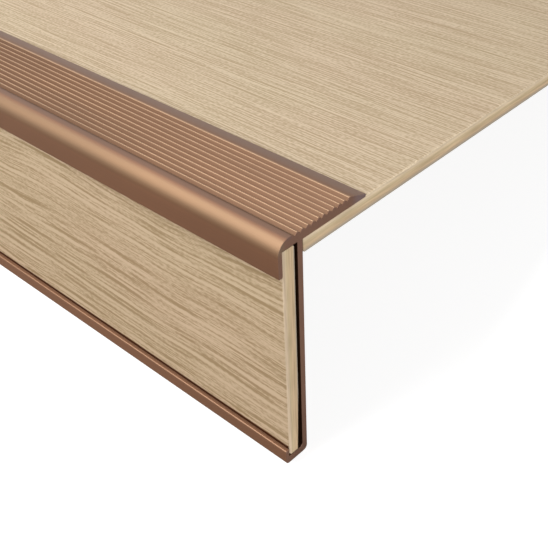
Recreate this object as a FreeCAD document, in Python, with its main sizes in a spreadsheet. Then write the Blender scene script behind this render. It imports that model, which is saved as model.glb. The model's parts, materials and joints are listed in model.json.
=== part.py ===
"""Stair tread: a ribbed nosing profile with a foot, a tread plank under its flange, a riser plank in its leg.

The three pieces share one section frame. X runs along the tread. Y runs from the nose to the back, with
zero on the back face of the leg. Z runs up, with zero on the top face of the tread plank.
Nothing holds the tread level, so the finished pieces are turned about X until the foot and the rear lower
edge of the tread plank both touch the floor.
"""
import FreeCAD, Part
import math
import os
import Sketcher

# Driving sizes in millimetres and degrees, by name, with what each one is
SIZES = [
    ("tread_length", 1000.0, "length of all three pieces along X"),
    ("tread_depth", 300.0, "front end to rear end of the tread plank"),
    ("plank_thickness", 5.0, "thickness of both planks"),
    ("plank_show_round", 1.1, "round along all edges of the show face of both planks"),
    ("plank_back_round", 0.7, "round on the hidden edge of a plank beside the leg"),
    ("tread_clearance", 0.2, "front end of the tread plank to the leg"),
    ("riser_gap", 1.5, "open gap between the leg and the riser plank"),
    ("riser_lip_clearance", 0.1, "show face of the riser plank to the front lip"),
    ("riser_top_clearance", 0.15, "top end of the riser plank to the ceiling of its pocket"),
    ("riser_seat_clearance", 0.5, "bottom end of the riser plank to the foot"),
    ("riser_taper_height", 27.0, "lower part of the riser plank, with its back cut at a slant"),
    ("riser_taper_depth", 1.0, "thickness that the slant takes away at the bottom end"),
    ("leg_thickness", 2.3, "wall of the upright leg"),
    ("leg_drop", 89.9, "underside of the flange to the underside of the foot"),
    ("pocket_rise", 0.2, "ceiling of the pocket above the underside of the flange"),
    ("flange_thickness", 2.9, "flange between its underside and the valleys of the ribs"),
    ("rib_height", 0.95, "valley to crest of a rib"),
    ("rib_pitch", 2.36, "crest to crest"),
    ("rib_crest", 0.2, "flat top of a rib"),
    ("rib_front_run", 1.0, "run of the rib slope that faces the nose"),
    ("rib_count", 11, "number of ribs"),
    ("strip_width", 6.1, "smooth strip from the front of the nose to the first crest"),
    ("rear_slope_run", 8.0, "run of the slope behind the last crest"),
    ("tip_flat", 0.95, "upright face of the thin rear edge"),
    ("tip_round", 0.25, "round over the thin rear edge"),
    ("nose_radius", 5.0, "outer radius of the bullnose"),
    ("lip_thickness", 1.8, "wall of the front lip"),
    ("lip_drop", 9.15, "underside of the flange to the lower end of the front lip"),
    ("lip_front_round", 0.35, "round along the front lower edge of the front lip"),
    ("lip_inner_round", 0.6, "round along the inner lower edge of the front lip"),
    ("foot_thickness", 3.0, "wall of the foot under the riser plank"),
    ("foot_lip_setback", 0.2, "inner face of the lip on the foot in front of that of the front lip"),
    ("foot_lip_height", 3.55, "floor of the foot to the inner edge of its lip"),
    ("foot_lip_slope", 2.0, "slope of the top of that lip, in degrees"),
    ("foot_lip_round", 0.4, "round along the front edge of that lip"),
    ("foot_front_round", 1.6, "round under the front of the foot"),
    ("foot_rear_round", 1.8, "outer round between the foot and the leg"),
    ("foot_inner_round", 1.6, "inner round between the foot and the leg"),
]
VALUE = {name: value for name, value, meaning in SIZES}

# Places in the section that follow from the driving sizes, as formulas for the sketches
POCKET = "sizes.riser_gap + sizes.plank_thickness + sizes.riser_lip_clearance"
NOSE_REACH = f"sizes.leg_thickness + {POCKET} + sizes.lip_thickness"
RIB_FIELD = "sizes.rib_count * sizes.rib_pitch"
FLANGE_REACH = f"sizes.strip_width + {RIB_FIELD} + sizes.rear_slope_run - ({NOSE_REACH})"
GROOVE_START = f"{NOSE_REACH} - sizes.strip_width - sizes.rib_crest / 2"
GROOVE_WIDTH = "sizes.rib_pitch - sizes.rib_crest"

# Points of a line or arc in a sketch, and the sketch's own origin and horizontal axis
START, END, CENTRE = 1, 2, 3
AXIS = -1

FACE_OFF = 0.01      # how far the middle of a face may lie from the plane that it is looked for in


def make_sheet(doc):
    """Writes the driving sizes into a spreadsheet, one named cell to a row."""
    sheet = doc.addObject("Spreadsheet::Sheet", "sizes")
    for row, (name, value, meaning) in enumerate(SIZES, start=1):
        sheet.set(f"A{row}", name)
        sheet.set(f"B{row}", str(value))
        sheet.set(f"C{row}", meaning)
        sheet.setAlias(f"B{row}", name)
    doc.recompute()


class Outline:
    """A closed outline in a body's YZ plane, drawn side by side counterclockwise, with named dimensions."""

    def __init__(self, body, name):
        self.sketch = body.newObject("Sketcher::SketchObject", name)
        plane = [face for face in body.Origin.OriginFeatures if face.Role == "YZ_Plane"][0]
        self.sketch.AttachmentSupport = [(plane, "")]
        self.sketch.MapMode = "FlatFace"
        self.sides = {}       # name of a side to its number and the points where it begins and ends
        self.smooth = set()

    def line(self, name, begin, end, kind=None):
        """Adds a straight side, level or upright where kind says so."""
        points = [FreeCAD.Vector(y, z, 0) for y, z in (begin, end)]
        number = self.sketch.addGeometry(Part.LineSegment(*points), False)
        self.sides[name] = (number, START, END)
        if kind:
            self.sketch.addConstraint(Sketcher.Constraint(kind, number))

    def bend(self, name, centre, radius, first_angle, last_angle, inward=False):
        """Adds a round side that runs smoothly into its neighbours. An inward bend is passed clockwise."""
        circle = Part.Circle(FreeCAD.Vector(centre[0], centre[1], 0), FreeCAD.Vector(0, 0, 1), radius)
        span = [math.radians(angle) for angle in (first_angle, last_angle)]
        number = self.sketch.addGeometry(Part.ArcOfCircle(circle, *span), False)
        self.sides[name] = (number, END, START) if inward else (number, START, END)
        self.smooth.add(name)

    def close(self):
        """Joins each side to the next one, and the last one to the first."""
        names = list(self.sides)
        for name, follower in zip(names, names[1:] + names[:1]):
            number, begin, end = self.sides[name]
            next_number, next_begin, next_end = self.sides[follower]
            kind = "Tangent" if self.smooth & {name, follower} else "Coincident"
            self.sketch.addConstraint(Sketcher.Constraint(kind, number, end, next_number, next_begin))

    def point(self, place):
        """Gives the number and point of a place, such as ("foot_floor", "begin")."""
        if place == "origin":
            return AXIS, START
        name, which = place
        number, begin, end = self.sides[name]
        return number, {"begin": begin, "end": end, "centre": CENTRE}[which]

    def where(self, place):
        """Gives the drawn position of a place."""
        if place == "origin":
            return FreeCAD.Vector(0, 0, 0)
        number, which = self.point(place)
        return self.sketch.getPoint(number, which)

    def size(self, kind, name, formula, first, second=None):
        """Puts a named dimension on the outline and binds it to the spreadsheet."""
        if kind == "Radius":
            number = self.sides[first][0]
            drawn = self.sketch.Geometry[number].Radius
            constraint = Sketcher.Constraint(kind, number, drawn)
        else:
            offset = self.where(second) - self.where(first)
            drawn = offset.x if kind == "DistanceX" else offset.y
            constraint = Sketcher.Constraint(kind, *self.point(first), *self.point(second), drawn)
        self.bind(constraint, name, formula)

    def bind(self, constraint, name, formula):
        index = self.sketch.addConstraint(constraint)
        self.sketch.renameConstraint(index, name)
        self.sketch.setExpression(f"Constraints.{name}", formula)

    def align(self, kind, first, second):
        """Keeps two places level with each other or one above the other."""
        self.sketch.addConstraint(Sketcher.Constraint(kind, *self.point(first), *self.point(second)))


def new_body(doc, label):
    body = doc.addObject("PartDesign::Body", label)
    body.Label = label
    return body


def nose_place():
    """Gives the drawn position of the front of the nose."""
    pocket = VALUE["riser_gap"] + VALUE["plank_thickness"] + VALUE["riser_lip_clearance"]
    return -(VALUE["leg_thickness"] + pocket + VALUE["lip_thickness"])


def extrude(body, outline):
    """Pads an outline along X by the length of the tread."""
    pad = body.newObject("PartDesign::Pad", "Length")
    pad.Profile = outline.sketch
    pad.setExpression("Length", "sizes.tread_length")
    return pad


def draw_profile_section(body):
    """Draws the nosing profile without its ribs: flange, bullnose, front lip, leg and foot."""
    nose_front = nose_place()
    lip_inner = nose_front + VALUE["lip_thickness"]
    leg_front = -VALUE["leg_thickness"]
    top = VALUE["flange_thickness"] + VALUE["rib_height"]
    last_crest = nose_front + VALUE["strip_width"] + VALUE["rib_count"] * VALUE["rib_pitch"]
    slope_top = (last_crest + VALUE["rib_crest"] / 2, top)
    rear = last_crest + VALUE["rear_slope_run"]
    under = -VALUE["leg_drop"]
    floor = under + VALUE["foot_thickness"]
    nose = VALUE["nose_radius"]
    ceiling = VALUE["pocket_rise"]
    lip_end = -VALUE["lip_drop"]
    lip_round = VALUE["lip_front_round"]
    lip_inner_round = VALUE["lip_inner_round"]
    inner_round = VALUE["foot_inner_round"]
    rear_round = VALUE["foot_rear_round"]
    front_round = VALUE["foot_front_round"]
    top_round = VALUE["foot_lip_round"]
    tip_round = VALUE["tip_round"]
    lip_slope = VALUE["foot_lip_slope"]
    foot_inner = lip_inner - VALUE["foot_lip_setback"]
    lip_top = floor + VALUE["foot_lip_height"]
    lip_front = lip_top + (foot_inner - nose_front) * math.tan(math.radians(lip_slope))
    tip_slope = math.degrees(math.atan2(top - VALUE["tip_flat"] - tip_round, rear - slope_top[0]))
    tip_end = (rear - tip_round * (1 - math.sin(math.radians(tip_slope))),
               VALUE["tip_flat"] + tip_round * math.cos(math.radians(tip_slope)))

    outline = Outline(body, "ProfileSection")
    outline.line("top", slope_top, (nose_front + nose, top), "Horizontal")
    outline.bend("bullnose", (nose_front + nose, top - nose), nose, 90, 180)
    outline.line("nose_front", (nose_front, top - nose), (nose_front, lip_end + lip_round), "Vertical")
    outline.bend("lip_front_edge", (nose_front + lip_round, lip_end + lip_round), lip_round, 180, 270)
    outline.line("lip_end", (nose_front + lip_round, lip_end), (lip_inner - lip_inner_round, lip_end),
                 "Horizontal")
    outline.bend("lip_inner_edge", (lip_inner - lip_inner_round, lip_end + lip_inner_round),
                 lip_inner_round, 270, 360)
    outline.line("lip_inside", (lip_inner, lip_end + lip_inner_round), (lip_inner, ceiling), "Vertical")
    outline.line("ceiling", (lip_inner, ceiling), (leg_front, ceiling), "Horizontal")
    outline.line("leg_front", (leg_front, ceiling), (leg_front, floor + inner_round), "Vertical")
    outline.bend("foot_inner", (leg_front - inner_round, floor + inner_round), inner_round, 270, 360,
                 inward=True)
    outline.line("foot_floor", (leg_front - inner_round, floor), (foot_inner, floor), "Horizontal")
    outline.line("foot_lip_inside", (foot_inner, floor), (foot_inner, lip_top), "Vertical")
    outline.line("foot_lip_top", (foot_inner, lip_top), (nose_front + top_round, lip_front))
    outline.bend("foot_lip_edge", (nose_front + top_round, lip_front - top_round), top_round,
                 90 - lip_slope, 180)
    outline.line("foot_front", (nose_front, lip_front - top_round), (nose_front, under + front_round),
                 "Vertical")
    outline.bend("foot_front_edge", (nose_front + front_round, under + front_round), front_round, 180, 270)
    outline.line("foot_underside", (nose_front + front_round, under), (-rear_round, under), "Horizontal")
    outline.bend("foot_rear_edge", (-rear_round, under + rear_round), rear_round, 270, 360)
    outline.line("leg_back", (0, under + rear_round), (0, 0), "Vertical")
    outline.line("flange_underside", (0, 0), (rear, 0), "Horizontal")
    outline.line("tip", (rear, 0), (rear, VALUE["tip_flat"]), "Vertical")
    outline.bend("tip_edge", (rear - tip_round, VALUE["tip_flat"]), tip_round, 0, 90 - tip_slope)
    outline.line("rear_slope", tip_end, slope_top)
    outline.close()
    return outline


def dimension_profile_section(outline):
    """Ties the section of the nosing profile to the spreadsheet."""
    corner = ("leg_back", "end")
    outline.sketch.addConstraint(Sketcher.Constraint("Coincident", *outline.point(corner), AXIS, START))
    outline.size("DistanceY", "ceiling_rise", "sizes.pocket_rise", corner, ("ceiling", "end"))
    outline.align("Vertical", ("foot_front", "end"), ("nose_front", "end"))
    outline.size("DistanceX", "nose_reach", NOSE_REACH, ("nose_front", "end"), corner)
    outline.size("DistanceX", "leg_wall", "sizes.leg_thickness", ("ceiling", "end"), corner)
    outline.size("DistanceX", "pocket", POCKET, ("ceiling", "begin"), ("ceiling", "end"))
    outline.size("DistanceX", "lip_setback", "sizes.foot_lip_setback",
                 ("foot_lip_inside", "end"), ("lip_inside", "end"))
    outline.size("DistanceY", "top_height", "sizes.flange_thickness + sizes.rib_height",
                 corner, ("top", "begin"))
    outline.size("DistanceX", "flange_reach", FLANGE_REACH, corner, ("flange_underside", "end"))
    outline.size("DistanceX", "slope_run", "sizes.rear_slope_run - sizes.rib_crest / 2",
                 ("top", "begin"), ("flange_underside", "end"))
    outline.size("DistanceY", "tip_wall", "sizes.tip_flat", ("tip", "begin"), ("tip", "end"))
    outline.size("DistanceY", "lip_length", "sizes.lip_drop", ("lip_end", "begin"), corner)
    outline.size("DistanceY", "foot_depth", "sizes.leg_drop", ("foot_underside", "end"), corner)
    outline.size("DistanceY", "foot_wall", "sizes.foot_thickness",
                 ("foot_underside", "end"), ("foot_floor", "begin"))
    outline.size("DistanceY", "foot_lip", "sizes.foot_lip_height", ("foot_lip_inside", "begin"),
                 ("foot_lip_inside", "end"))
    outline.size("Radius", "nose_round", "sizes.nose_radius", "bullnose")
    outline.size("Radius", "lip_front_round", "sizes.lip_front_round", "lip_front_edge")
    outline.size("Radius", "lip_inner_round", "sizes.lip_inner_round", "lip_inner_edge")
    outline.size("Radius", "inner_round", "sizes.foot_inner_round", "foot_inner")
    outline.size("Radius", "lip_edge_round", "sizes.foot_lip_round", "foot_lip_edge")
    outline.size("Radius", "front_round", "sizes.foot_front_round", "foot_front_edge")
    outline.size("Radius", "rear_round", "sizes.foot_rear_round", "foot_rear_edge")
    outline.size("Radius", "tip_round", "sizes.tip_round", "tip_edge")
    level = outline.sides["foot_floor"][0]
    slope = outline.sides["foot_lip_top"][0]
    angle = Sketcher.Constraint("Angle", slope, START, level, START, math.radians(VALUE["foot_lip_slope"]))
    outline.bind(angle, "lip_slope", "sizes.foot_lip_slope * 1 deg")


def cut_ribs(body, pad):
    """Cuts the groove in front of the first rib, and repeats it at the pitch of the ribs."""
    begin = nose_place() + VALUE["strip_width"] + VALUE["rib_crest"] / 2
    end = begin + VALUE["rib_pitch"] - VALUE["rib_crest"]
    top = VALUE["flange_thickness"] + VALUE["rib_height"]
    valley = (end - VALUE["rib_front_run"], VALUE["flange_thickness"])

    outline = Outline(body, "GrooveSection")
    outline.line("mouth", (end, top), (begin, top), "Horizontal")
    outline.line("back_slope", (begin, top), valley)
    outline.line("front_slope", valley, (end, top))
    outline.close()
    outline.size("DistanceX", "groove_start", GROOVE_START, ("mouth", "end"), "origin")
    outline.size("DistanceX", "groove_width", GROOVE_WIDTH, ("mouth", "end"), ("mouth", "begin"))
    outline.size("DistanceX", "front_run", "sizes.rib_front_run",
                 ("front_slope", "begin"), ("front_slope", "end"))
    outline.size("DistanceY", "groove_depth", "sizes.rib_height",
                 ("front_slope", "begin"), ("front_slope", "end"))
    outline.size("DistanceY", "groove_floor", "sizes.flange_thickness", "origin", ("front_slope", "begin"))

    groove = body.newObject("PartDesign::Pocket", "Groove")
    groove.Profile = outline.sketch
    groove.Type = "ThroughAll"
    groove.Reversed = True
    body.Document.recompute()
    pattern = body.newObject("PartDesign::LinearPattern", "Ribs")
    pattern.Originals = [groove]
    pattern.Direction = (outline.sketch, ["H_Axis"])
    pattern.Mode = "Spacing"
    pattern.setExpression("Offset", "sizes.rib_pitch")
    pattern.setExpression("Occurrences", "sizes.rib_count")
    body.Tip = pattern
    body.Document.recompute()
    cut = pad.Shape.Volume - body.Shape.Volume
    section = (VALUE["rib_pitch"] - VALUE["rib_crest"]) * VALUE["rib_height"] / 2
    wanted = section * VALUE["rib_count"] * VALUE["tread_length"]
    if abs(cut - wanted) > wanted / 1000:
        raise RuntimeError(f"the grooves took {cut:.0f} cubic millimetres and not {wanted:.0f}")


def make_nosing_profile(doc):
    """Makes the aluminium extrusion that holds both planks."""
    body = new_body(doc, "nosing_profile")
    outline = draw_profile_section(body)
    dimension_profile_section(outline)
    pad = extrude(body, outline)
    doc.recompute()
    cut_ribs(body, pad)
    return body


def round_show_face(body, pad, direction):
    """Rounds all edges of the flat face that looks in a direction."""
    body.Document.recompute()
    reach = max(vertex.Point.dot(direction) for vertex in pad.Shape.Vertexes)
    for number, face in enumerate(pad.Shape.Faces, start=1):
        if abs(face.CenterOfMass.dot(direction) - reach) < FACE_OFF:
            edge_round = body.newObject("PartDesign::Fillet", "ShowFaceRound")
            edge_round.Base = (pad, [f"Face{number}"])
            edge_round.setExpression("Radius", "sizes.plank_show_round")
            body.Tip = edge_round
            return
    raise RuntimeError(f"no flat show face on {body.Label}")


def make_tread_plank(doc):
    """Makes the plank under the flange, show face up, with the hidden round beside the leg."""
    body = new_body(doc, "tread_plank")
    front = VALUE["tread_clearance"]
    rear = front + VALUE["tread_depth"]
    under = -VALUE["plank_thickness"]
    back_round = VALUE["plank_back_round"]

    outline = Outline(body, "PlankSection")
    outline.line("show_face", (rear, 0), (front, 0), "Horizontal")
    outline.line("front_end", (front, 0), (front, under + back_round), "Vertical")
    outline.bend("hidden_edge", (front + back_round, under + back_round), back_round, 180, 270)
    outline.line("underside", (front + back_round, under), (rear, under), "Horizontal")
    outline.line("rear_end", (rear, under), (rear, 0), "Vertical")
    outline.close()
    outline.align("Horizontal", ("show_face", "end"), "origin")
    outline.size("DistanceX", "clearance", "sizes.tread_clearance", "origin", ("show_face", "end"))
    outline.size("DistanceX", "depth", "sizes.tread_depth", ("show_face", "end"), ("show_face", "begin"))
    outline.size("DistanceY", "thickness", "sizes.plank_thickness",
                 ("rear_end", "begin"), ("rear_end", "end"))
    outline.size("Radius", "hidden_round", "sizes.plank_back_round", "hidden_edge")
    round_show_face(body, extrude(body, outline), FreeCAD.Vector(0, 0, 1))
    return body


def make_riser_plank(doc):
    """Makes the plank that stands between the lips and the leg, show face to the front. The back of its lower
    part slants forward."""
    body = new_body(doc, "riser_plank")
    back = -(VALUE["leg_thickness"] + VALUE["riser_gap"])
    front = back - VALUE["plank_thickness"]
    top = VALUE["pocket_rise"] - VALUE["riser_top_clearance"]
    bottom = VALUE["foot_thickness"] + VALUE["riser_seat_clearance"] - VALUE["leg_drop"]
    slant_top = bottom + VALUE["riser_taper_height"]
    slant_foot = back - VALUE["riser_taper_depth"]
    back_round = VALUE["plank_back_round"]

    outline = Outline(body, "PlankSection")
    outline.line("show_face", (front, top), (front, bottom), "Vertical")
    outline.line("bottom_end", (front, bottom), (slant_foot, bottom), "Horizontal")
    outline.line("slant", (slant_foot, bottom), (back, slant_top))
    outline.line("back_face", (back, slant_top), (back, top - back_round), "Vertical")
    outline.bend("hidden_edge", (back - back_round, top - back_round), back_round, 0, 90)
    outline.line("top_end", (back - back_round, top), (front, top), "Horizontal")
    outline.close()
    outline.size("DistanceX", "behind", "sizes.leg_thickness + sizes.riser_gap",
                 ("back_face", "begin"), "origin")
    outline.size("DistanceX", "thickness", "sizes.plank_thickness",
                 ("bottom_end", "begin"), ("back_face", "begin"))
    outline.size("DistanceX", "taper_depth", "sizes.riser_taper_depth", ("slant", "begin"), ("slant", "end"))
    outline.size("DistanceY", "taper_height", "sizes.riser_taper_height",
                 ("slant", "begin"), ("slant", "end"))
    outline.size("DistanceY", "reach_up", "sizes.pocket_rise - sizes.riser_top_clearance",
                 "origin", ("show_face", "begin"))
    outline.size("DistanceY", "drop", "sizes.leg_drop - sizes.foot_thickness - sizes.riser_seat_clearance",
                 ("bottom_end", "end"), "origin")
    outline.size("Radius", "hidden_round", "sizes.plank_back_round", "hidden_edge")
    round_show_face(body, extrude(body, outline), FreeCAD.Vector(0, -1, 0))
    return body


def lay_at_rest(doc, bodies):
    """Turns the pieces about X until the rounded heel of the foot and the rear of the tread both touch the
    floor, and puts the middle of their box over the origin."""
    heel = VALUE["foot_rear_round"]
    reach = VALUE["tread_clearance"] + VALUE["tread_depth"] + heel
    drop = VALUE["leg_drop"] - heel - VALUE["plank_thickness"]
    tilt = math.atan2(drop, reach) + math.asin(heel / math.hypot(drop, reach))
    turn = FreeCAD.Rotation(FreeCAD.Vector(1, 0, 0), -math.degrees(tilt))
    for body in bodies:
        body.Placement = FreeCAD.Placement(FreeCAD.Vector(), turn)
    doc.recompute()
    box = Part.makeCompound([body.Shape for body in bodies]).optimalBoundingBox(False, False)
    shift = FreeCAD.Vector(-box.Center.x, -box.Center.y, -box.ZMin)
    for body in bodies:
        body.Placement = FreeCAD.Placement(shift, turn)
    doc.recompute()
    print(f"turned by {math.degrees(tilt):.3f} degrees, lowest point lifted by {shift.z:.3f} mm")


def check(doc, bodies):
    """Stops if a feature failed, a sketch is loose or a piece isn't one whole solid."""
    for item in doc.Objects:
        if {"Invalid", "Error"} & set(item.State):
            raise RuntimeError(f"{item.Label} failed: {item.State}")
        if item.isDerivedFrom("Sketcher::SketchObject") and not item.FullyConstrained:
            raise RuntimeError(f"{item.Label} isn't fully constrained")
    for body in bodies:
        if body.Shape.isNull() or not body.Shape.isValid() or len(body.Shape.Solids) != 1:
            raise RuntimeError(f"{body.Label} isn't one valid solid")


def main():
    doc = FreeCAD.newDocument("StairTread")
    make_sheet(doc)
    bodies = [make_nosing_profile(doc), make_tread_plank(doc), make_riser_plank(doc)]
    lay_at_rest(doc, bodies)
    check(doc, bodies)
    os.makedirs("parts", exist_ok=True)
    for body in bodies:
        body.Shape.exportStep(f"parts/{body.Label}.step")
        box = body.Shape.BoundBox
        print(f"{body.Label}: {box.XLength:.1f} x {box.YLength:.1f} x {box.ZLength:.1f} mm, "
              f"{body.Shape.Volume / 1000:.1f} cubic centimetres")


main()
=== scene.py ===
"""Stair tread in Blender: a bronze nosing profile, a tread board and a riser board, on a pale floor.

All lengths are in metres. The pieces are shaped in the section frame of the part: X runs along the tread,
Y from the nose to the back with zero on the back face of the leg, and Z up with zero on the top face of the
tread board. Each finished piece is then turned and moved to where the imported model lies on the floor.
"""
import json
import math

import bmesh
import bpy
from bpy.props import FloatProperty, FloatVectorProperty, IntProperty, PointerProperty
from mathutils import Matrix, Vector


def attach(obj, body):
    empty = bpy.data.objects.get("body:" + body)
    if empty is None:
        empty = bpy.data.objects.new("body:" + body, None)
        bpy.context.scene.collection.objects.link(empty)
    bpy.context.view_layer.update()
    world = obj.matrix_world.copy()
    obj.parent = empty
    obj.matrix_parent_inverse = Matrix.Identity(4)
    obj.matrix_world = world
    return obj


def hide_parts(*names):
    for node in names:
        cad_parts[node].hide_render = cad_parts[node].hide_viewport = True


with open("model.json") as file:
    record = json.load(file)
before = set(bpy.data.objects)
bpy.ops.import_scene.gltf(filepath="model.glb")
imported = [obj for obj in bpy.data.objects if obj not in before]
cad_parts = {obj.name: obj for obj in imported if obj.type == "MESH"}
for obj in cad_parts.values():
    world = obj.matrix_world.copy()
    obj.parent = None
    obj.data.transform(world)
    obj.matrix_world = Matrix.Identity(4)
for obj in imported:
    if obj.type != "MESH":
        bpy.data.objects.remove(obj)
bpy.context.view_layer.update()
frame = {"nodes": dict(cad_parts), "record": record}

bl_info = {
    "name": "Stair tread",
    "version": (1, 0, 0),
    "blender": (4, 5, 0),
    "location": "3D View > Sidebar > Stair tread",
    "description": "Builds a stair tread with a ribbed nosing profile, a tread board and a riser board",
    "category": "Object",
}

MM = 0.001
NEAR = 1e-5                     # how far a face or edge may lie from the place where it is looked for
FACING = 0.99                   # cosine above which a face counts as looking along an axis
FLAT = math.radians(0.5)        # angle under which two faces count as one
PROFILE_SMOOTH = math.radians(28)
BOARD_SMOOTH = math.radians(35)

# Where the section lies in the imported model
GLUED_FACE = frame["record"]["mounts"][0]
TILT = math.atan2(-GLUED_FACE["axis"][1], -GLUED_FACE["axis"][2])
TREAD_CLEARANCE = 0.2 * MM


def section_range(node):
    """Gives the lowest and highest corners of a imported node, turned level but not yet moved."""
    level = Matrix.Rotation(TILT, 3, "X")
    points = [level @ vertex.co for vertex in frame["nodes"][node].data.vertices]
    low = Vector(map(min, *points))
    high = Vector(map(max, *points))
    return low, high


TREAD_LOW, TREAD_HIGH = section_range("tread_plank")
ORIGIN = Vector((0, TREAD_LOW.y - TREAD_CLEARANCE, TREAD_HIGH.z))
TO_FLOOR = Matrix.Rotation(-TILT, 4, "X") @ Matrix.Translation(ORIGIN)
TREAD = (TREAD_LOW - ORIGIN, TREAD_HIGH - ORIGIN)
RISER = tuple(corner - ORIGIN for corner in section_range("riser_plank"))
PROFILE = tuple(corner - ORIGIN for corner in section_range("nosing_profile"))
HALF_LENGTH = PROFILE[1].x


# Sizes and colours that a user may change

def length(name, description, default):
    return FloatProperty(name=name, description=description, default=default * MM, min=0.0,
                         subtype="DISTANCE", unit="LENGTH", precision=5)


def colour(name, description, default):
    return FloatVectorProperty(name=name, description=description, default=(*default, 1.0), size=4,
                               min=0.0, max=1.0, subtype="COLOR")


class NosingSizes(bpy.types.PropertyGroup):
    """Sizes of the nosing profile that its box doesn't give"""

    leg_thickness: length("Leg", "Wall of the upright leg", 2.3)
    lip_thickness: length("Lip", "Wall of the front lip", 1.8)
    lip_drop: length("Lip drop", "Underside of the flange to the lower end of the front lip", 9.15)
    lip_front_round: length("Lip front round", "Round along the front lower edge of the front lip", 0.35)
    lip_inner_round: length("Lip inner round", "Round along the inner lower edge of the front lip", 0.6)
    pocket_rise: length("Pocket rise", "Ceiling of the riser's pocket above the flange's underside", 0.2)
    nose_radius: length("Nose radius", "Outer radius of the bullnose", 5.0)
    strip_width: length("Smooth strip", "Front of the nose to the first crest", 6.1)
    rib_count: IntProperty(name="Ribs", description="Number of grooves between the crests", default=11,
                           min=1)
    rib_pitch: length("Rib pitch", "Crest to crest", 2.36)
    rib_height: length("Rib height", "Valley to crest", 0.95)
    rib_crest: length("Rib crest", "Flat top of a rib", 0.2)
    rib_front_run: length("Rib front", "Run of the rib slope that faces the nose", 1.0)
    rib_edge: length("Rib edge", "Worn round along the crest of a rib", 0.05)
    rear_slope_run: length("Rear slope", "Run of the slope behind the last crest", 8.0)
    tip_flat: length("Rear edge", "Upright face of the thin rear edge", 0.95)
    tip_round: length("Rear edge round", "Round over the thin rear edge", 0.25)
    foot_thickness: length("Foot", "Wall of the foot under the riser board", 3.0)
    foot_lip_setback: length("Foot lip setback", "Inner face of the foot's lip in front of the front lip's",
                             0.2)
    foot_lip_height: length("Foot lip", "Floor of the foot to the inner edge of its lip", 3.55)
    foot_lip_slope: FloatProperty(name="Foot lip slope", description="Slope of the top of the foot's lip",
                                  default=math.radians(2.0), subtype="ANGLE", unit="ROTATION")
    foot_lip_round: length("Foot lip round", "Round along the front edge of the lip on the foot", 0.4)
    foot_front_round: length("Foot front round", "Round under the front of the foot", 1.6)
    foot_rear_round: length("Foot rear round", "Outer round between foot and leg", 1.8)
    foot_inner_round: length("Foot inner round", "Inner round between foot and leg", 1.6)
    rim: length("Cut rim", "Chamfer round the two cut ends", 0.08)


class BoardSizes(bpy.types.PropertyGroup):
    """Edges of the two boards"""

    show_round: length("Show edge", "Round along the edges of the show face", 1.1)
    hidden_round: length("Hidden edge", "Round on the edge beside the leg", 0.7)
    slant_height: length("Slant height", "Lower part of the riser board, with a slanting back", 27.0)
    slant_depth: length("Slant depth", "Thickness that the slant takes away at the bottom end", 1.0)


class FinishColours(bpy.types.PropertyGroup):
    """Colours of the finishes"""

    bronze: colour("Bronze", "Anodised aluminium", (0.225, 0.1135, 0.063))
    # Worn crests made lighter with painted highlight, and the painted highlight on the lip of the foot
    bronze_highlight_and_wear: colour("Rubbed bronze", "Crests that feet have rubbed", (0.462, 0.297, 0.183))
    # Painted shade in the grooves between the ribs
    bronze_groove_shade: colour("Groove bronze", "Darker metal between the ribs", (0.112, 0.052, 0.022))
    # Painted shade on the leg's face behind the riser board
    gap_shade: colour("Gap wall", "Face of the leg behind the riser board", (0.050, 0.017, 0.004))
    tread_light: colour("Tread light", "Light grain of the tread", (0.700, 0.560, 0.394))
    tread_dark: colour("Tread dark", "Dark grain of the tread", (0.472, 0.350, 0.218))
    riser_light: colour("Riser light", "Light grain of the riser", (0.570, 0.444, 0.301))
    riser_dark: colour("Riser dark", "Dark grain of the riser", (0.330, 0.235, 0.128))
    # Painted shade in the slot between the riser board and the lip on the foot
    slot_shade: colour("Joint", "Dark line where dust gathers along the foot", (0.060, 0.014, 0.002))
    tread_edge: colour("Tread edge", "Edge of the tread board near its show face", (0.718, 0.591, 0.419))
    riser_edge: colour("Riser edge", "Edge of the riser board near its show face", (0.598, 0.487, 0.352))
    edge_lower: colour("Lower edge", "Edge of a board near its back", (0.575, 0.445, 0.285))
    edge_line: colour("Edge line", "Thin line between the layers of a board", (0.450, 0.325, 0.205))
    backing: colour("Backing", "Sheet on the back of a board", (0.390, 0.345, 0.275))


class StageLevels(bpy.types.PropertyGroup):
    """Light and floor"""

    key_power: FloatProperty(name="Key lamp", description="Power of the large soft lamp", default=29.2,
                             min=0.0, unit="POWER")
    fill_power: FloatProperty(name="Fill lamp", description="Power of the lamp beside the near end",
                              default=25.0, min=0.0, unit="POWER")
    key_width: FloatProperty(name="Key width", description="Width of the large soft lamp", default=0.5,
                             min=0.01, subtype="DISTANCE", unit="LENGTH")
    key_height: FloatProperty(name="Key height", description="Height of the large soft lamp", default=1.9,
                              min=0.01, subtype="DISTANCE", unit="LENGTH")
    ambient: FloatProperty(name="Room light", description="Level of the light from all round",
                           default=0.144, min=0.0, subtype="FACTOR")
    floor_glow: FloatProperty(name="Floor glow", description="Share of white that shadows can't darken",
                              default=0.85, min=0.0, max=1.0, subtype="FACTOR")


# Working in edit mode

def start_fresh():
    """Goes to object mode and deselects everything."""
    if bpy.context.mode != "OBJECT":
        bpy.ops.object.mode_set(mode="OBJECT")
    bpy.ops.object.select_all(action="DESELECT")


def add_block(name, low, high):
    """Adds a cube that fills a box of the section frame, and opens it in edit mode."""
    start_fresh()
    low = Vector(low)
    high = Vector(high)
    bpy.ops.mesh.primitive_cube_add(size=1, location=(low + high) / 2, scale=high - low)
    block = bpy.context.active_object
    block.name = name
    block.data.name = name
    bpy.ops.object.transform_apply(location=True, rotation=True, scale=True)
    bpy.ops.object.mode_set(mode="EDIT")
    bpy.ops.mesh.select_all(action="DESELECT")
    return block


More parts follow.
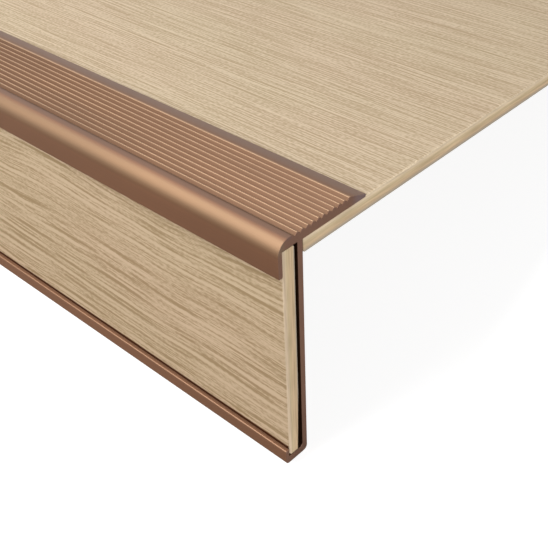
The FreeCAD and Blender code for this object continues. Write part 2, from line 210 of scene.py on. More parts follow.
def pick(kind, wanted):
    """Selects only the faces or edges of the mesh in edit mode for which wanted is true."""
    bpy.ops.mesh.select_mode(type=kind)
    bpy.ops.mesh.select_all(action="DESELECT")
    mesh = bmesh.from_edit_mesh(bpy.context.edit_object.data)
    mesh.normal_update()
    found = 0
    for item in {"FACE": mesh.faces, "EDGE": mesh.edges, "VERT": mesh.verts}[kind]:
        if wanted(item):
            item.select_set(True)
            found += 1
    bmesh.update_edit_mesh(bpy.context.edit_object.data)
    if not found:
        raise RuntimeError(f"nothing to select on {bpy.context.edit_object.name}")


def pick_face(normal, place=None, span=None):
    """Selects the faces that look along an axis. place is their position on that axis, and span gives the
    lowest and highest position of their middle on the other axis of the section."""
    axis = Vector(normal)
    along = max(range(3), key=lambda index: abs(axis[index]))
    across = 3 - along          # Y for faces that look up or down, Z for those that look front or back

    def wanted(face):
        middle = face.calc_center_bounds()
        if face.normal.dot(axis) < FACING:
            return False
        if place is not None and abs(middle[along] - place) > NEAR:
            return False
        return span is None or span[0] < middle[across] < span[1]

    pick("FACE", wanted)


def push(y=0.0, z=0.0):
    """Extrudes the selected faces across the section."""
    bpy.ops.mesh.extrude_region_move(TRANSFORM_OT_translate={"value": (0, y, z)})


def cut_level(z):
    """Cuts the whole mesh in edit mode with a level plane."""
    bpy.ops.mesh.select_all(action="SELECT")
    bpy.ops.mesh.bisect(plane_co=(0, 0, z), plane_no=(0, 0, 1))


def runs_along(edge, places):
    """True for an edge along X whose section point is one of these places."""
    first, last = (vertex.co for vertex in edge.verts)
    if abs(first.y - last.y) > NEAR or abs(first.z - last.z) > NEAR:
        return False
    return any(abs(first.y - y) < NEAR and abs(first.z - z) < NEAR for y, z in places)


def round_edge(place, radius, segments, turn=math.pi / 2):
    """Rounds the edge along X at a place of the section, where the outline turns by an angle."""
    pick("EDGE", lambda edge: runs_along(edge, [place]))
    bpy.ops.mesh.bevel(offset=radius * math.tan(turn / 2), offset_type="OFFSET", segments=segments,
                       profile=0.5, affect="EDGES", clamp_overlap=False)


def lay_on_floor(piece, smooth_angle):
    """Turns a piece from the section frame to its place on the floor, with its place in its mesh."""
    start_fresh()
    piece.select_set(True)
    bpy.context.view_layer.objects.active = piece
    piece.matrix_world = TO_FLOOR
    bpy.ops.object.transform_apply(location=True, rotation=True, scale=True)
    bpy.ops.object.shade_smooth_by_angle(angle=smooth_angle)


def finish_piece(piece, node, material):
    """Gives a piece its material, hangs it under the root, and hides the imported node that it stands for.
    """
    piece.data.materials.clear()
    piece.data.materials.append(material)
    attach(piece, "root")
    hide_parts(node)


# The nosing profile

def first_crest(sizes):
    return PROFILE[0].y + sizes.strip_width


def last_crest(sizes):
    return first_crest(sizes) + sizes.rib_count * sizes.rib_pitch


def foot_lip_top(sizes):
    """Height of the inner edge of the lip on the foot."""
    return PROFILE[0].z + sizes.foot_thickness + sizes.foot_lip_height


def shape_profile(sizes):
    """Shapes the profile from its leg: flange, nose, front lip and foot are extruded, then rounded."""
    low, high = PROFILE
    leg_front = -sizes.leg_thickness
    nose_front = low.y
    lip_inner = nose_front + sizes.lip_thickness
    under = low.z
    floor = under + sizes.foot_thickness
    top = high.z
    slope_top = last_crest(sizes) + sizes.rib_crest / 2
    rear = last_crest(sizes) + sizes.rear_slope_run

    piece = add_block("nosing", (-HALF_LENGTH, leg_front, under), (HALF_LENGTH, 0, top))
    cut_level(floor)
    cut_level(0)
    cut_level(sizes.pocket_rise)

    pick_face((0, -1, 0), leg_front, (sizes.pocket_rise, top))
    push(y=lip_inner - leg_front)
    push(y=nose_front - lip_inner)
    pick_face((0, 0, -1), sizes.pocket_rise, (nose_front, lip_inner))
    push(z=-sizes.lip_drop - sizes.pocket_rise)

    pick_face((0, 1, 0), 0, (0, top))
    push(y=slope_top)
    push(y=rear - slope_top)
    slope = math.atan2(top - sizes.tip_flat - sizes.tip_round, rear - slope_top)
    tip_turn = math.pi / 2 - slope
    tip_top = sizes.tip_flat + sizes.tip_round * math.tan(tip_turn / 2)
    pick("EDGE", lambda edge: runs_along(edge, [(rear, top)]))
    bpy.ops.transform.translate(value=(0, 0, tip_top - top))

    pick_face((0, -1, 0), leg_front, (under, floor))
    foot_inner = lip_inner - sizes.foot_lip_setback
    push(y=foot_inner - leg_front)
    push(y=nose_front - foot_inner)
    pick_face((0, 0, 1), floor, (nose_front, foot_inner))
    push(z=sizes.foot_lip_height)
    lip_top = foot_lip_top(sizes)
    lip_rise = (foot_inner - nose_front) * math.tan(sizes.foot_lip_slope)
    pick("EDGE", lambda edge: runs_along(edge, [(nose_front, lip_top)]))
    bpy.ops.transform.translate(value=(0, 0, lip_rise))

    bpy.ops.mesh.select_all(action="SELECT")
    bpy.ops.mesh.dissolve_limited(angle_limit=FLAT)

    round_edge((nose_front, top), sizes.nose_radius, segments=20)
    lip_end = -sizes.lip_drop
    round_edge((nose_front, lip_end), sizes.lip_front_round, segments=5)
    round_edge((lip_inner, lip_end), sizes.lip_inner_round, segments=6)
    round_edge((rear, tip_top), sizes.tip_round, segments=4, turn=tip_turn)
    lip_turn = math.pi / 2 + sizes.foot_lip_slope
    round_edge((nose_front, lip_top + lip_rise), sizes.foot_lip_round, segments=4, turn=lip_turn)
    round_edge((nose_front, under), sizes.foot_front_round, segments=10)
    round_edge((0, under), sizes.foot_rear_round, segments=10)
    round_edge((leg_front, floor), sizes.foot_inner_round, segments=8)
    start_fresh()
    return piece


def shape_rib_cutter(sizes):
    """Shapes a bar with the section of one groove and repeats it at the pitch of the ribs."""
    begin = first_crest(sizes) + sizes.rib_crest / 2
    end = begin + sizes.rib_pitch - sizes.rib_crest
    valley = end - sizes.rib_front_run
    top = PROFILE[1].z
    spare = 2 * sizes.rib_height
    reach = HALF_LENGTH + spare
    bar = add_block("groove_bar", (-reach, begin, top - sizes.rib_height), (reach, end, top))
    for y in (begin, end):
        pick("EDGE", lambda edge: runs_along(edge, [(y, top - sizes.rib_height)]))
        bpy.ops.transform.translate(value=(0, valley - y, 0))
    bpy.ops.mesh.select_all(action="SELECT")
    bpy.ops.mesh.remove_doubles(threshold=NEAR)
    pick_face((0, 0, 1), top)
    push(z=spare)
    start_fresh()
    bar.select_set(True)
    bpy.context.view_layer.objects.active = bar
    array = bar.modifiers.new("Ribs", "ARRAY")
    array.count = sizes.rib_count
    array.use_relative_offset = False
    array.use_constant_offset = True
    array.constant_offset_displace = (0, sizes.rib_pitch, 0)
    bpy.ops.object.modifier_apply(modifier=array.name)
    return bar


def cut_ribs(piece, sizes):
    """Cuts the grooves between the ribs, and rubs their crests round."""
    bar = shape_rib_cutter(sizes)
    start_fresh()
    piece.select_set(True)
    bpy.context.view_layer.objects.active = piece
    cut = piece.modifiers.new("Grooves", "BOOLEAN")
    cut.operation = "DIFFERENCE"
    cut.solver = "EXACT"
    cut.object = bar
    bpy.ops.object.modifier_apply(modifier=cut.name)
    bpy.data.meshes.remove(bar.data)

    crests = [first_crest(sizes) + sizes.rib_pitch * index for index in range(sizes.rib_count + 1)]
    half = sizes.rib_crest / 2
    places = [(y + side, PROFILE[1].z) for y in crests for side in (-half, half)]
    bpy.ops.object.mode_set(mode="EDIT")
    pick("EDGE", lambda edge: runs_along(edge, places))
    bpy.ops.mesh.bevel(offset=sizes.rib_edge, offset_type="OFFSET", segments=2, profile=0.5,
                       affect="EDGES", clamp_overlap=False)
    start_fresh()


def chamfer_ends(piece, rim):
    """Insets the two cut ends and draws their outlines back, which leaves a fine chamfer."""
    start_fresh()
    piece.select_set(True)
    bpy.context.view_layer.objects.active = piece
    bpy.ops.object.mode_set(mode="EDIT")
    for side in (-1, 1):
        end = side * HALF_LENGTH
        pick("FACE", lambda face: face.normal.x * side > FACING)
        bpy.ops.mesh.inset(thickness=rim, depth=0, use_even_offset=True)
        mesh = bmesh.from_edit_mesh(piece.data)
        inner = {vertex.index for vertex in mesh.verts if vertex.select}
        pick("VERT", lambda vertex: abs(vertex.co.x - end) < NEAR and vertex.index not in inner)
        bpy.ops.transform.translate(value=(-side * rim, 0, 0))
    start_fresh()


# The two boards

def shape_board(name, box, show, hidden, sizes, slant=None):
    """Shapes a board from a block: the edges of its show face are rounded, and so is one hidden edge. A
    slant is a point and an outward direction in the section, and what lies outside it is cut away."""
    piece = add_block(name, *box)
    show = Vector(show)
    along = 1 if show.y else 2
    face_place = box[0][along] if show[along] < 0 else box[1][along]

    def on_show_face(edge):
        return all(abs(vertex.co[along] - face_place) < NEAR for vertex in edge.verts)

    if slant:
        bpy.ops.mesh.select_all(action="SELECT")
        place, outward = slant
        normal = Vector((0, *outward)).normalized()
        bpy.ops.mesh.bisect(plane_co=(0, *place), plane_no=normal, clear_outer=True, use_fill=True,
                            threshold=NEAR)
    pick("EDGE", lambda edge: runs_along(edge, [hidden]))
    bpy.ops.mesh.bevel(offset=sizes.hidden_round, segments=5, profile=0.5, affect="EDGES")
    pick("EDGE", on_show_face)
    bpy.ops.mesh.bevel(offset=sizes.show_round, segments=6, profile=0.5, affect="EDGES")
    start_fresh()
    return piece


# Node trees

BUMP_DEPTH = 0.02 * MM


class NodeBox:
    """The nodes of a material or of the world, each added with its settings and its links in one call."""

    def __init__(self, owner):
        owner.use_nodes = True
        self.tree = owner.node_tree
        self.tree.nodes.clear()

    def node(self, kind, inputs=None, **settings):
        """Adds a node. inputs gives its sockets their values or links, settings are its own properties."""
        node = self.tree.nodes.new(kind)
        for key, value in settings.items():
            setattr(node, key, value)
        for key, value in (inputs or {}).items():
            if isinstance(value, bpy.types.NodeSocket):
                self.tree.links.new(value, node.inputs[key])
            else:
                node.inputs[key].default_value = value
        return node

    def math(self, operation, first, second=0.0, third=0.0):
        return self.node("ShaderNodeMath", {0: first, 1: second, 2: third}, operation=operation).outputs[0]

    def all_of(self, *shares):
        """Multiplies shares."""
        product = shares[0]
        for share in shares[1:]:
            product = self.math("MULTIPLY", product, share)
        return product

    def rest_of(self, share):
        """What a share leaves of one."""
        return self.math("SUBTRACT", 1.0, share)

    def ramp(self, value, low, high, to_low=0.0, to_high=1.0):
        """Turns a range of a value into another range, smoothly. With low above high it falls."""
        return self.node("ShaderNodeMapRange", {
            "Value": value, "From Min": low, "From Max": high, "To Min": to_low, "To Max": to_high},
            interpolation_type="SMOOTHSTEP").outputs["Result"]

    def between(self, value, start, full, fading, gone):
        """One from full to fading, and zero before start and after gone."""
        return self.all_of(self.ramp(value, start, full), self.ramp(value, gone, fading))

    def blend(self, share, first, second, kind="MIX"):
        """Mixes two colours."""
        return self.node("ShaderNodeMix", {0: share, 6: first, 7: second}, data_type="RGBA",
                         blend_type=kind).outputs[2]

    def tint(self, share, base, multiples):
        """Multiplies a colour, as far as share says."""
        return self.blend(share, base, multiples, "MULTIPLY")


class Recipe(NodeBox):
    """The nodes of one of the part's materials, with patterns in the coordinates of the section."""

    def __init__(self, name):
        self.material = bpy.data.materials.new(name)
        super().__init__(self.material)
        points = self.node("ShaderNodeTexCoord").outputs["Object"]
        self.section = self.node("ShaderNodeMapping", {
            "Vector": points, "Rotation": (TILT, 0, 0), "Location": -ORIGIN}).outputs[0]
        self.x, self.y, self.z = self.node("ShaderNodeSeparateXYZ", {0: self.section}).outputs

    def noise(self, waves, detail=2.0, shift=(0, 0, 0)):
        """Noise in the section. waves gives the number of waves per metre along each axis."""
        points = self.node("ShaderNodeMapping", {
            "Vector": self.section, "Scale": waves, "Location": shift}).outputs[0]
        return self.node("ShaderNodeTexNoise", {
            "Vector": points, "Scale": 1.0, "Detail": detail}).outputs["Fac"]

    def swing(self, waves, detail=2.0, shift=(0, 0, 0)):
        """The same noise, round zero."""
        return self.math("SUBTRACT", self.noise(waves, detail, shift), 0.5)

    def add_up(self, parts):
        """Adds patterns round zero, each with its own weight, to a middle of one half."""
        total = 0.5
        for pattern, weight in parts:
            total = self.math("MULTIPLY_ADD", pattern, weight, total)
        return total

    def bump(self, height, strength):
        return self.node("ShaderNodeBump", {
            "Height": height, "Strength": strength, "Distance": BUMP_DEPTH}).outputs[0]

    def surface(self, inputs):
        shader = self.node("ShaderNodeBsdfPrincipled", inputs)
        self.node("ShaderNodeOutputMaterial", {"Surface": shader.outputs[0]})
        return self.material


# The finish of the nosing profile

# Ranges over which the bronze changes, across the section
END_FADE = (0.05 * MM, 0.02 * MM)         # in from a cut end
FIELD_FRONT = (0.15 * MM, 0.10 * MM)      # in front of the first crest
FIELD_REAR = 1.25 * MM                    # behind the last crest
VALLEY_FADE = (0.25 * MM, 0.05 * MM)      # below the valleys of the ribs
CREST_FADE = (0.70 * MM, 0.45 * MM)       # below the crests
CREST_PHASE = (0.40, 0.45)                # of a pitch, with a crest at one half
FIRST_RIB = (0.2, 0.5)                    # of a pitch, behind the first crest
# Painted shade on the leg's face behind the riser board spans the next three ranges
GAP_FRONT = (0.8 * MM, 2.8 * MM)          # behind the show face of the riser board
GAP_REAR = (0.05 * MM, 0.15 * MM)         # behind the front face of the leg
GAP_TOP = 0.1 * MM                        # below the top face of the tread board
# Painted highlight along the front edge of the lip on the foot spans the next three ranges
LIP_HIGHLIGHT_BELOW = (0.60 * MM, 0.35 * MM)       # below the top of the lip on the foot
LIP_HIGHLIGHT_ABOVE = (0.05 * MM, 0.25 * MM)       # above it
LIP_HIGHLIGHT_BACK = (0.40 * MM, 0.15 * MM)        # behind the front of the foot
NOSE_BACK = (3.7 * MM, 2.2 * MM)          # behind the front of the nose
NOSE_RISE = (-2.5 * MM, 1.0 * MM)         # above the top face of the tread board
STRIP_FRONT = (3.2 * MM, 4.7 * MM)        # behind the front of the nose
STRIP_REAR = 0.3 * MM                     # in front of the first crest
REAR_SLOPE = (0.2 * MM, 5.0 * MM)         # behind the last crest

# Waves per metre along X, Y and Z
DRAWN_LINES = (1.5, 2600, 2600)
CLOUDS = (14, 60, 60)
SAW_MARKS = (900, 2400, 260)

# Shifts of the bronze, as multiples of red, green and blue
CLOUD_TINTS = (0.95, 0.955, 0.96, 1), (1.04, 1.035, 1.03, 1)
LINE_TINTS = (0.95, 0.95, 0.955, 1), (1.05, 1.05, 1.045, 1)
# Painted reflection: a cool sheen on the slope behind the last crest
REAR_REFLECTION_TINT = (0.99, 1.25, 1.75, 1)
# Painted highlight: the round nose lighter and more golden
NOSE_HIGHLIGHT_TINT = (1.03, 1.19, 1.13, 1)
# Painted reflection: a cool greyish sheen on the smooth strip
STRIP_REFLECTION_TINT = (0.93, 1.01, 1.18, 1)
END_TINT = (1.07, 1.25, 1.64, 1)

WHOLE_NOISE = (0.3, 0.7)                  # range that noise mostly keeps to
CREST_CLOUD = (0.2, 0.7, 0.75, 1.0)       # noise to the share of a crest that is worn and lighter with painted highlight
# Share of the painted highlight on the lip of the foot
LIP_HIGHLIGHT_SHARE = 0.22
DRAWN_ROUGHNESS = (0.535, 0.585)
SAWN_ROUGHNESS = 0.06                     # on top of the drawn surface's


def sawn_ends(mix):
    """Share of the two cut ends."""
    deep, full = END_FADE
    return mix.ramp(mix.math("ABSOLUTE", mix.x), HALF_LENGTH - deep, HALF_LENGTH - full)


def above_valleys(mix, sizes):
    """Share of what lies above the valleys of the ribs."""
    valley = PROFILE[1].z - sizes.rib_height
    below, full = VALLEY_FADE
    return mix.ramp(mix.z, valley - below, valley - full)


def rib_field(mix, sizes):
    """Share of the ribbed field, which fades out on the slope behind the last crest, and takes painted
    shade in its grooves.
    """
    front, full = FIELD_FRONT
    first = first_crest(sizes)
    last = last_crest(sizes)
    across = mix.between(mix.y, first - front, first - full, last, last + FIELD_REAR)
    return mix.all_of(across, above_valleys(mix, sizes))


def crest_wear_and_highlight(mix, sizes):
    """Share of the crests and of the upper slopes behind them, apart from the first, which are worn and
    lighter with painted highlight.
    """
    first = first_crest(sizes)
    top = PROFILE[1].z
    below, full = CREST_FADE
    pitches = mix.math("DIVIDE", mix.math("SUBTRACT", mix.y, first), sizes.rib_pitch)
    phase = mix.math("FRACT", mix.math("ADD", pitches, 0.5))
    return mix.all_of(mix.ramp(phase, *CREST_PHASE), mix.ramp(mix.z, top - below, top - full),
                      mix.ramp(pitches, *FIRST_RIB))


def gap_shade(mix, sizes):
    """Share of the leg's face behind the riser board, where no light reaches, which gets painted shade."""
    front, clear = (RISER[0].y + reach for reach in GAP_FRONT)
    leg, deep = (reach - sizes.leg_thickness for reach in GAP_REAR)
    return mix.all_of(mix.between(mix.y, front, clear, leg, deep), mix.ramp(mix.z, 0.0, -GAP_TOP))


def foot_lip_highlight(mix, sizes):
    """Share of the painted highlight along the front edge of the lip on the foot."""
    edge = foot_lip_top(sizes)
    low, full = (edge - reach for reach in LIP_HIGHLIGHT_BELOW)
    fading, gone = (edge + reach for reach in LIP_HIGHLIGHT_ABOVE)
    back = (PROFILE[0].y + reach for reach in LIP_HIGHLIGHT_BACK)
    return mix.all_of(mix.between(mix.z, low, full, fading, gone), mix.ramp(mix.y, *back), LIP_HIGHLIGHT_SHARE)


def nose_front(mix):
    """Share of the round front of the nose, which gets painted highlight colour."""
    back = (PROFILE[0].y + reach for reach in NOSE_BACK)
    return mix.all_of(mix.ramp(mix.y, *back), mix.ramp(mix.z, *NOSE_RISE))


def smooth_strip(mix, sizes):
    """Share of the strip between the nose and the first crest, which gets a painted reflection."""
    front, full = (PROFILE[0].y + reach for reach in STRIP_FRONT)
    first = first_crest(sizes)
    across = mix.between(mix.y, front, full, first - STRIP_REAR, first)
    return mix.all_of(across, above_valleys(mix, sizes))


def bronze_finish(colours, sizes):
    """Bronze anodised aluminium: drawn lines, worn crests with painted highlight, painted shade, painted
    reflections, sawn ends.
    """
    mix = Recipe("bronze_anodised")
    lines = mix.noise(DRAWN_LINES, detail=3)
    cloud = mix.noise(CLOUDS, detail=3, shift=(3, 1, 7))
    saw = mix.noise(SAW_MARKS, shift=(0, 3, 5))
    end = sawn_ends(mix)
    drawn = mix.rest_of(end)
    rubbed_and_highlit = mix.all_of(crest_wear_and_highlight(mix, sizes), mix.ramp(cloud, *CREST_CLOUD))
    # Painted shade in the grooves; the crests are worn and lighter with painted highlight
    ribs = mix.blend(rubbed_and_highlit, colours.bronze_groove_shade, colours.bronze_highlight_and_wear)
    base = mix.blend(mix.all_of(rib_field(mix, sizes), drawn), colours.bronze, ribs)
    # Painted shade on the leg's face behind the riser board
    base = mix.blend(mix.all_of(gap_shade(mix, sizes), drawn), base, colours.gap_shade)
    # Painted highlight along the front edge of the lip on the foot
    base = mix.blend(foot_lip_highlight(mix, sizes), base, colours.bronze_highlight_and_wear)
    rear = (last_crest(sizes) + reach for reach in REAR_SLOPE)
    # Painted reflection on the rear slope and the smooth strip, and painted highlight colour on the nose
    base = mix.tint(mix.ramp(mix.y, *rear), base, REAR_REFLECTION_TINT)
    base = mix.tint(nose_front(mix), base, NOSE_HIGHLIGHT_TINT)
    base = mix.tint(smooth_strip(mix, sizes), base, STRIP_REFLECTION_TINT)
    base = mix.tint(end, base, END_TINT)
    base = mix.tint(1.0, base, mix.blend(mix.ramp(cloud, *WHOLE_NOISE), *CLOUD_TINTS))
    base = mix.tint(1.0, base, mix.blend(mix.ramp(lines, *WHOLE_NOISE), *LINE_TINTS))
    smooth = mix.ramp(lines, *WHOLE_NOISE, *DRAWN_ROUGHNESS)
    roughness = mix.math("MULTIPLY_ADD", end, SAWN_ROUGHNESS, smooth)
    height = mix.math("ADD", mix.all_of(lines, drawn), mix.all_of(saw, end))
    return mix.surface({
        "Base Color": base, "Metallic": 0.92, "Roughness": roughness, "Coat Weight": 0.35,
        "Coat Roughness": 0.45, "Coat IOR": 1.5, "Normal": mix.bump(height, 0.25)})


# The finishes of the two boards

# Lines of the grain: waves per metre across and along it, lean, place in the noise, and weight
TREAD_LINES = (
    (1600, 38, 0.5, 31.0, 9.5),
    (1000, 24, 0.5, 57.0, 5.2),
    (150, 20, 0.5, 5.0, 0.4),
)
RISER_LINES = (
    (1900, 110, 0.5, 31.0, 4.2),
    (950, 90, 0.5, 57.0, 2.4),
    (520, 30, 0.4, 13.0, 7.2),
    (330, 10, 0.25, 5.0, 0.8),
)
FADE_WAVES = 0.4                          # waves of the fade across the grain, for one wave of the line

# How the grain bends: its waves per metre along X, Y and Z, and how far they reach
TREAD_BENDS = (5, 8, 8), 4.0 * MM
RISER_BENDS = (13, 20, 20), 14.0 * MM
PORES = (600, 1800, 1800)
TREAD_PORES = 0.7
RISER_PORES = 0.5

# Range of the summed grain that becomes dark to light
TREAD_WINDOW = (0.17, 0.83)
RISER_WINDOW = (0.12, 0.78)

PATCHES = (9, 26, 26)
PATCH_NOISE = (0.35, 0.65)
PATCH_TINTS = (0.990, 1.002, 0.992, 1), (1.006, 0.998, 1.004, 1)
TONE_ROUGHNESS = (0.2, 0.8, 0.62, 0.52)   # tone to roughness

# Depths below the show face over which the layers of a board's edge change
FILM_END = (0.02 * MM, 0.30 * MM)
UPPER_LAYER = (0.3 * MM, 2.1 * MM)
COOL_LAYER = (0.6 * MM, 1.4 * MM, 2.0 * MM, 3.0 * MM)
THIN_LINE = (1.8 * MM, 2.1 * MM, 2.2 * MM, 2.5 * MM)
SEAM = (3.5 * MM, 3.7 * MM, 3.8 * MM, 4.0 * MM)
TREAD_BACKING = (3.3 * MM, 4.7 * MM)
RISER_BACKING = (4.25 * MM, 4.95 * MM)
THIN_LINE_SHARE = 0.12
SEAM_SHARE = 0.5
COOL_TINT = (0.96, 1.0, 0.98, 1)

# Streaks along a board's edge: fine ones in waves per metre along X, Y and Z, and broad ones
TREAD_STREAKS = (400, 70, 1400)
RISER_STREAKS = (400, 1400, 70)
BROAD_STREAKS = (60, 60, 60)
STREAK_TINTS = (0.60, 0.59, 0.56, 1), (1.40, 1.41, 1.44, 1)

SHADE_LINE = (1.05 * MM, 0.60 * MM)        # painted shade, above the top of the lip on the foot


def board_edge(mix, depth, streaks, upper, backing, colours):
    """Colours of a board's edge against the depth below its show face, with streaks along the edge."""
    layers = mix.blend(mix.ramp(depth, *UPPER_LAYER), upper, colours.edge_lower)
    for place, share in ((THIN_LINE, THIN_LINE_SHARE), (SEAM, SEAM_SHARE)):
        layers = mix.blend(mix.all_of(mix.between(depth, *place), share), layers, colours.edge_line)
    layers = mix.tint(mix.between(depth, *COOL_LAYER), layers, COOL_TINT)
    streak = mix.add_up([(mix.swing(streaks, shift=(2, 8, 4)), 1.0),
                         (mix.swing(BROAD_STREAKS, shift=(7, 3, 2)), 0.5)])
    layers = mix.tint(1.0, layers, mix.blend(streak, *STREAK_TINTS))
    return mix.blend(mix.ramp(depth, *backing), layers, colours.backing)


def board_finish(mix, tone, light, dark, depth, edge):
    """Puts the grain tone, soft patches and the layered edge together."""
    patch = mix.ramp(mix.noise(PATCHES, shift=(1, 7, 3)), *PATCH_NOISE)
    wood = mix.tint(1.0, mix.blend(tone, dark, light), mix.blend(patch, *PATCH_TINTS))
    off_face = mix.ramp(depth, *FILM_END)
    return mix.surface({
        "Base Color": mix.blend(off_face, wood, edge), "Roughness": mix.ramp(tone, *TONE_ROUGHNESS),
        "Specular IOR Level": 0.3, "Normal": mix.bump(mix.all_of(tone, mix.rest_of(off_face)), 0.35)})


def dashes(mix, across, waves, along, lean, shift):
    """Thin lines along X, round zero. waves and along are waves per metre across and along the grain. With
    a lean of 0.5 a line turns light and dark along its length, and with a lower lean it only fades."""
    place = mix.math("MULTIPLY_ADD", across, waves, shift)
    line = mix.node("ShaderNodeTexNoise", {"W": place, "Scale": 1.0, "Detail": 0.0},
                    noise_dimensions="1D").outputs["Fac"]
    fade_place = mix.math("MULTIPLY_ADD", across, waves * FADE_WAVES, shift)
    along_place = mix.math("MULTIPLY", mix.x, along)
    points = mix.node("ShaderNodeCombineXYZ", {0: along_place, 1: fade_place}).outputs[0]
    fade = mix.node("ShaderNodeTexNoise", {"Vector": points, "Scale": 1.0, "Detail": 0.0},
                    noise_dimensions="2D").outputs["Fac"]
    return mix.math("MULTIPLY", mix.math("SUBTRACT", line, 0.5), mix.math("SUBTRACT", fade, lean))


def grain_tone(mix, across, bends, lines, pores, window):
    """Tone of a grain along X, from zero for dark to one for light."""
    waves, reach = bends
    across = mix.math("MULTIPLY_ADD", mix.swing(waves, detail=1, shift=(3, 3, 3)), reach, across)
    parts = [(dashes(mix, across, *line), weight) for *line, weight in lines]
    parts.append((mix.swing(PORES, detail=0, shift=(4, 4, 4)), pores))
    return mix.ramp(mix.add_up(parts), *window)


def tread_finish(colours):
    """Light oak, with fine straight grain along the tread and fine pores."""
    mix = Recipe("tread_oak")
    tone = grain_tone(mix, mix.y, TREAD_BENDS, TREAD_LINES, TREAD_PORES, TREAD_WINDOW)
    depth = mix.math("SUBTRACT", TREAD[1].z, mix.z)
    edge = board_edge(mix, depth, TREAD_STREAKS, colours.tread_edge, TREAD_BACKING, colours)
    return board_finish(mix, tone, colours.tread_light, colours.tread_dark, depth, edge)


def riser_finish(colours, nosing):
    """Oak with coarser, slightly wavy grain along the riser, and a line of painted shade above the lip on
    the foot.
    """
    mix = Recipe("riser_oak")
    tone = grain_tone(mix, mix.z, RISER_BENDS, RISER_LINES, RISER_PORES, RISER_WINDOW)
    depth = mix.math("SUBTRACT", mix.y, RISER[0].y)
    edge = board_edge(mix, depth, RISER_STREAKS, colours.riser_edge, RISER_BACKING, colours)
    # Painted shade in the slot above the lip on the foot
    shadow = mix.ramp(mix.z, *(foot_lip_top(nosing) + reach for reach in SHADE_LINE))
    light = mix.blend(shadow, colours.riser_light, colours.slot_shade)
    dark = mix.blend(shadow, colours.riser_dark, colours.slot_shade)
    return board_finish(mix, tone, light, dark, depth, edge)


# The stage

CAMERA_PLACE = Vector((HALF_LENGTH + 149.3 * MM, -163.3 * MM, 159.1 * MM))    # in the section frame
CAMERA_LOOK = Vector((-0.5560, 0.5614, -0.6129))
CAMERA_UP = Vector((-0.3980, 0.4675, 0.7893))
FOCAL_PIXELS = 932.95
PICTURE_PIXELS = 548
SENSOR = 36.0
CLIP_START = 0.01

# Lamps: place, target, and the direction towards which their height leans
KEY_LAMP = (-0.17, -0.69, 1.34), (0.45, -0.16, 0.08), (0, 1, 0)
FILL_LAMP = (2.2, -0.5, 0.6), (0.5, 0.0, 0.05), (0, 0, 1)
FILL_SIZE = (1.5, 1.0)

WHITE = (1, 1, 1, 1)
FLOOR_SIZE = 12.0
FLOOR_PAINT = (0.46, 0.36, 0.29, 1)       # what every ray but the camera's meets
FLOOR_SHADED = (0.36, 0.36, 0.36, 1)      # what the camera sees under the glow
FLOOR_WHITE = (0.9, 2.2)                  # distance from the part over which the floor turns wholly white


def floor_finish(glow):
    """White floor that keeps soft shadows. The camera sees it lit up to white, and wholly white far from
    the part. Reflections see its paint."""
    material = bpy.data.materials.new("floor_white")
    mix = NodeBox(material)
    points = mix.node("ShaderNodeTexCoord").outputs["Object"]
    away = mix.node("ShaderNodeVectorMath", {0: points}, operation="LENGTH").outputs["Value"]
    strength = mix.ramp(away, *FLOOR_WHITE, glow, 1.0)
    light = mix.node("ShaderNodeEmission", {"Color": WHITE, "Strength": strength}).outputs[0]
    shaded = mix.node("ShaderNodeBsdfDiffuse", {"Color": FLOOR_SHADED}).outputs[0]
    seen = mix.node("ShaderNodeAddShader", {0: shaded, 1: light}).outputs[0]
    paint = mix.node("ShaderNodeBsdfDiffuse", {"Color": FLOOR_PAINT}).outputs[0]
    camera = mix.node("ShaderNodeLightPath").outputs["Is Camera Ray"]
    both = mix.node("ShaderNodeMixShader", {0: camera, 1: paint, 2: seen}).outputs[0]
    mix.node("ShaderNodeOutputMaterial", {"Surface": both})
    return material


def turn_towards(look, up):
    """Turns something that looks down its own Z axis to look along a direction, with Y towards up."""
    right = look.cross(up).normalized()
    look = look.normalized()
    return Matrix((right, right.cross(look), -look)).transposed().to_4x4()


def place_camera():
    """Puts the camera at the photograph's place and turn, which were solved in the section frame."""
    start_fresh()
    bpy.ops.object.camera_add()
    camera = bpy.context.active_object
    camera.name = "photo_camera"
    camera.matrix_world = TO_FLOOR @ Matrix.Translation(CAMERA_PLACE) @ turn_towards(CAMERA_LOOK, CAMERA_UP)
    camera.data.sensor_width = SENSOR
    camera.data.lens = SENSOR * FOCAL_PIXELS / PICTURE_PIXELS
    camera.data.clip_start = CLIP_START
    bpy.context.scene.camera = camera


def light_room(ambient):
    """Even light from all round, with a white background for the camera and for reflections."""
    world = bpy.data.worlds.new("room")
    bpy.context.scene.world = world
    mix = NodeBox(world)
    path = mix.node("ShaderNodeLightPath").outputs
    seen = mix.math("MAXIMUM", path["Is Camera Ray"], path["Is Glossy Ray"])
    seen = mix.math("MAXIMUM", seen, path["Is Transmission Ray"])
    strength = mix.ramp(seen, 0.0, 1.0, ambient, 1.0)
    background = mix.node("ShaderNodeBackground", {"Color": WHITE, "Strength": strength}).outputs[0]
    mix.node("ShaderNodeOutputWorld", {"Surface": background})


def hang_lamp(name, aim, width, height, power):
    """Hangs a rectangular lamp that points at a target."""
    place, target, up = map(Vector, aim)
    start_fresh()
    bpy.ops.object.light_add(type="AREA")
    lamp = bpy.context.active_object
    lamp.name = name
    lamp.matrix_world = Matrix.Translation(place) @ turn_towards(target - place, up)
    lamp.data.shape = "RECTANGLE"
    lamp.data.size = width
    lamp.data.size_y = height
    lamp.data.energy = power


# Operators

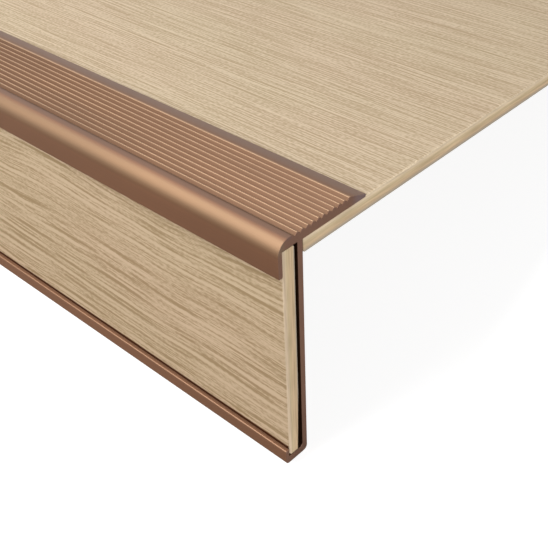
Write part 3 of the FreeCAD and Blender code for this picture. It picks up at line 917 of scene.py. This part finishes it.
class StairNosing(bpy.types.Operator):
    """Builds the nosing profile with its ribs, lips and foot"""

    bl_idname = "stair.nosing"
    bl_label = "Nosing profile"

    def execute(self, context):
        sizes = context.scene.stair_nosing
        piece = shape_profile(sizes)
        cut_ribs(piece, sizes)
        chamfer_ends(piece, sizes.rim)
        lay_on_floor(piece, PROFILE_SMOOTH)
        finish = bronze_finish(context.scene.stair_colours, sizes)
        finish_piece(piece, "nosing_profile", finish)
        return {"FINISHED"}


class StairTreadBoard(bpy.types.Operator):
    """Builds the board under the flange, show face up"""

    bl_idname = "stair.tread_board"
    bl_label = "Tread board"

    def execute(self, context):
        low = TREAD[0]
        piece = shape_board("tread_board", TREAD, (0, 0, 1), (low.y, low.z), context.scene.stair_boards)
        lay_on_floor(piece, BOARD_SMOOTH)
        finish_piece(piece, "tread_plank", tread_finish(context.scene.stair_colours))
        return {"FINISHED"}


class StairRiserBoard(bpy.types.Operator):
    """Builds the board that stands in the foot, show face to the front"""

    bl_idname = "stair.riser_board"
    bl_label = "Riser board"

    def execute(self, context):
        low, high = RISER
        sizes = context.scene.stair_boards
        slant = ((high.y, low.z + sizes.slant_height), (sizes.slant_height, -sizes.slant_depth))
        piece = shape_board("riser_board", RISER, (0, -1, 0), (high.y, high.z), sizes, slant)
        lay_on_floor(piece, BOARD_SMOOTH)
        finish = riser_finish(context.scene.stair_colours, context.scene.stair_nosing)
        finish_piece(piece, "riser_plank", finish)
        return {"FINISHED"}


class StairStage(bpy.types.Operator):
    """Sets up the floor, the lamps, the room light and the camera"""

    bl_idname = "stair.stage"
    bl_label = "Stage"

    def execute(self, context):
        levels = context.scene.stair_stage
        start_fresh()
        bpy.ops.mesh.primitive_plane_add(size=FLOOR_SIZE, location=(0, 0, 0))
        floor = context.active_object
        floor.name = "floor"
        floor.data.materials.append(floor_finish(levels.floor_glow))
        hang_lamp("key_lamp", KEY_LAMP, levels.key_width, levels.key_height, levels.key_power)
        hang_lamp("fill_lamp", FILL_LAMP, *FILL_SIZE, levels.fill_power)
        light_room(levels.ambient)
        place_camera()
        context.scene.view_settings.view_transform = "Standard"
        return {"FINISHED"}


class StairPanel(bpy.types.Panel):
    """Buttons for the pieces of the stair tread"""

    bl_idname = "VIEW3D_PT_stair_tread"
    bl_label = "Stair tread"
    bl_space_type = "VIEW_3D"
    bl_region_type = "UI"
    bl_category = "Stair tread"

    def draw(self, context):
        for operator in OPERATORS:
            self.layout.operator(operator.bl_idname)
        for group in GROUPS:
            settings = getattr(context.scene, group)
            for name in settings.bl_rna.properties.keys():
                if name not in ("rna_type", "name"):
                    self.layout.prop(settings, name)


OPERATORS = (StairNosing, StairTreadBoard, StairRiserBoard, StairStage)
GROUPS = {"stair_nosing": NosingSizes, "stair_boards": BoardSizes, "stair_colours": FinishColours,
          "stair_stage": StageLevels}


def register():
    for group in GROUPS.values():
        bpy.utils.register_class(group)
    for name, group in GROUPS.items():
        setattr(bpy.types.Scene, name, PointerProperty(type=group))
    for operator in OPERATORS:
        bpy.utils.register_class(operator)
    bpy.utils.register_class(StairPanel)


def unregister():
    bpy.utils.unregister_class(StairPanel)
    for operator in reversed(OPERATORS):
        bpy.utils.unregister_class(operator)
    for name in GROUPS:
        delattr(bpy.types.Scene, name)
    for group in GROUPS.values():
        bpy.utils.unregister_class(group)


def main():
    register()
    bpy.ops.stair.nosing()
    bpy.ops.stair.tread_board()
    bpy.ops.stair.riser_board()
    bpy.ops.stair.stage()


if __name__ == "__main__":
    main()
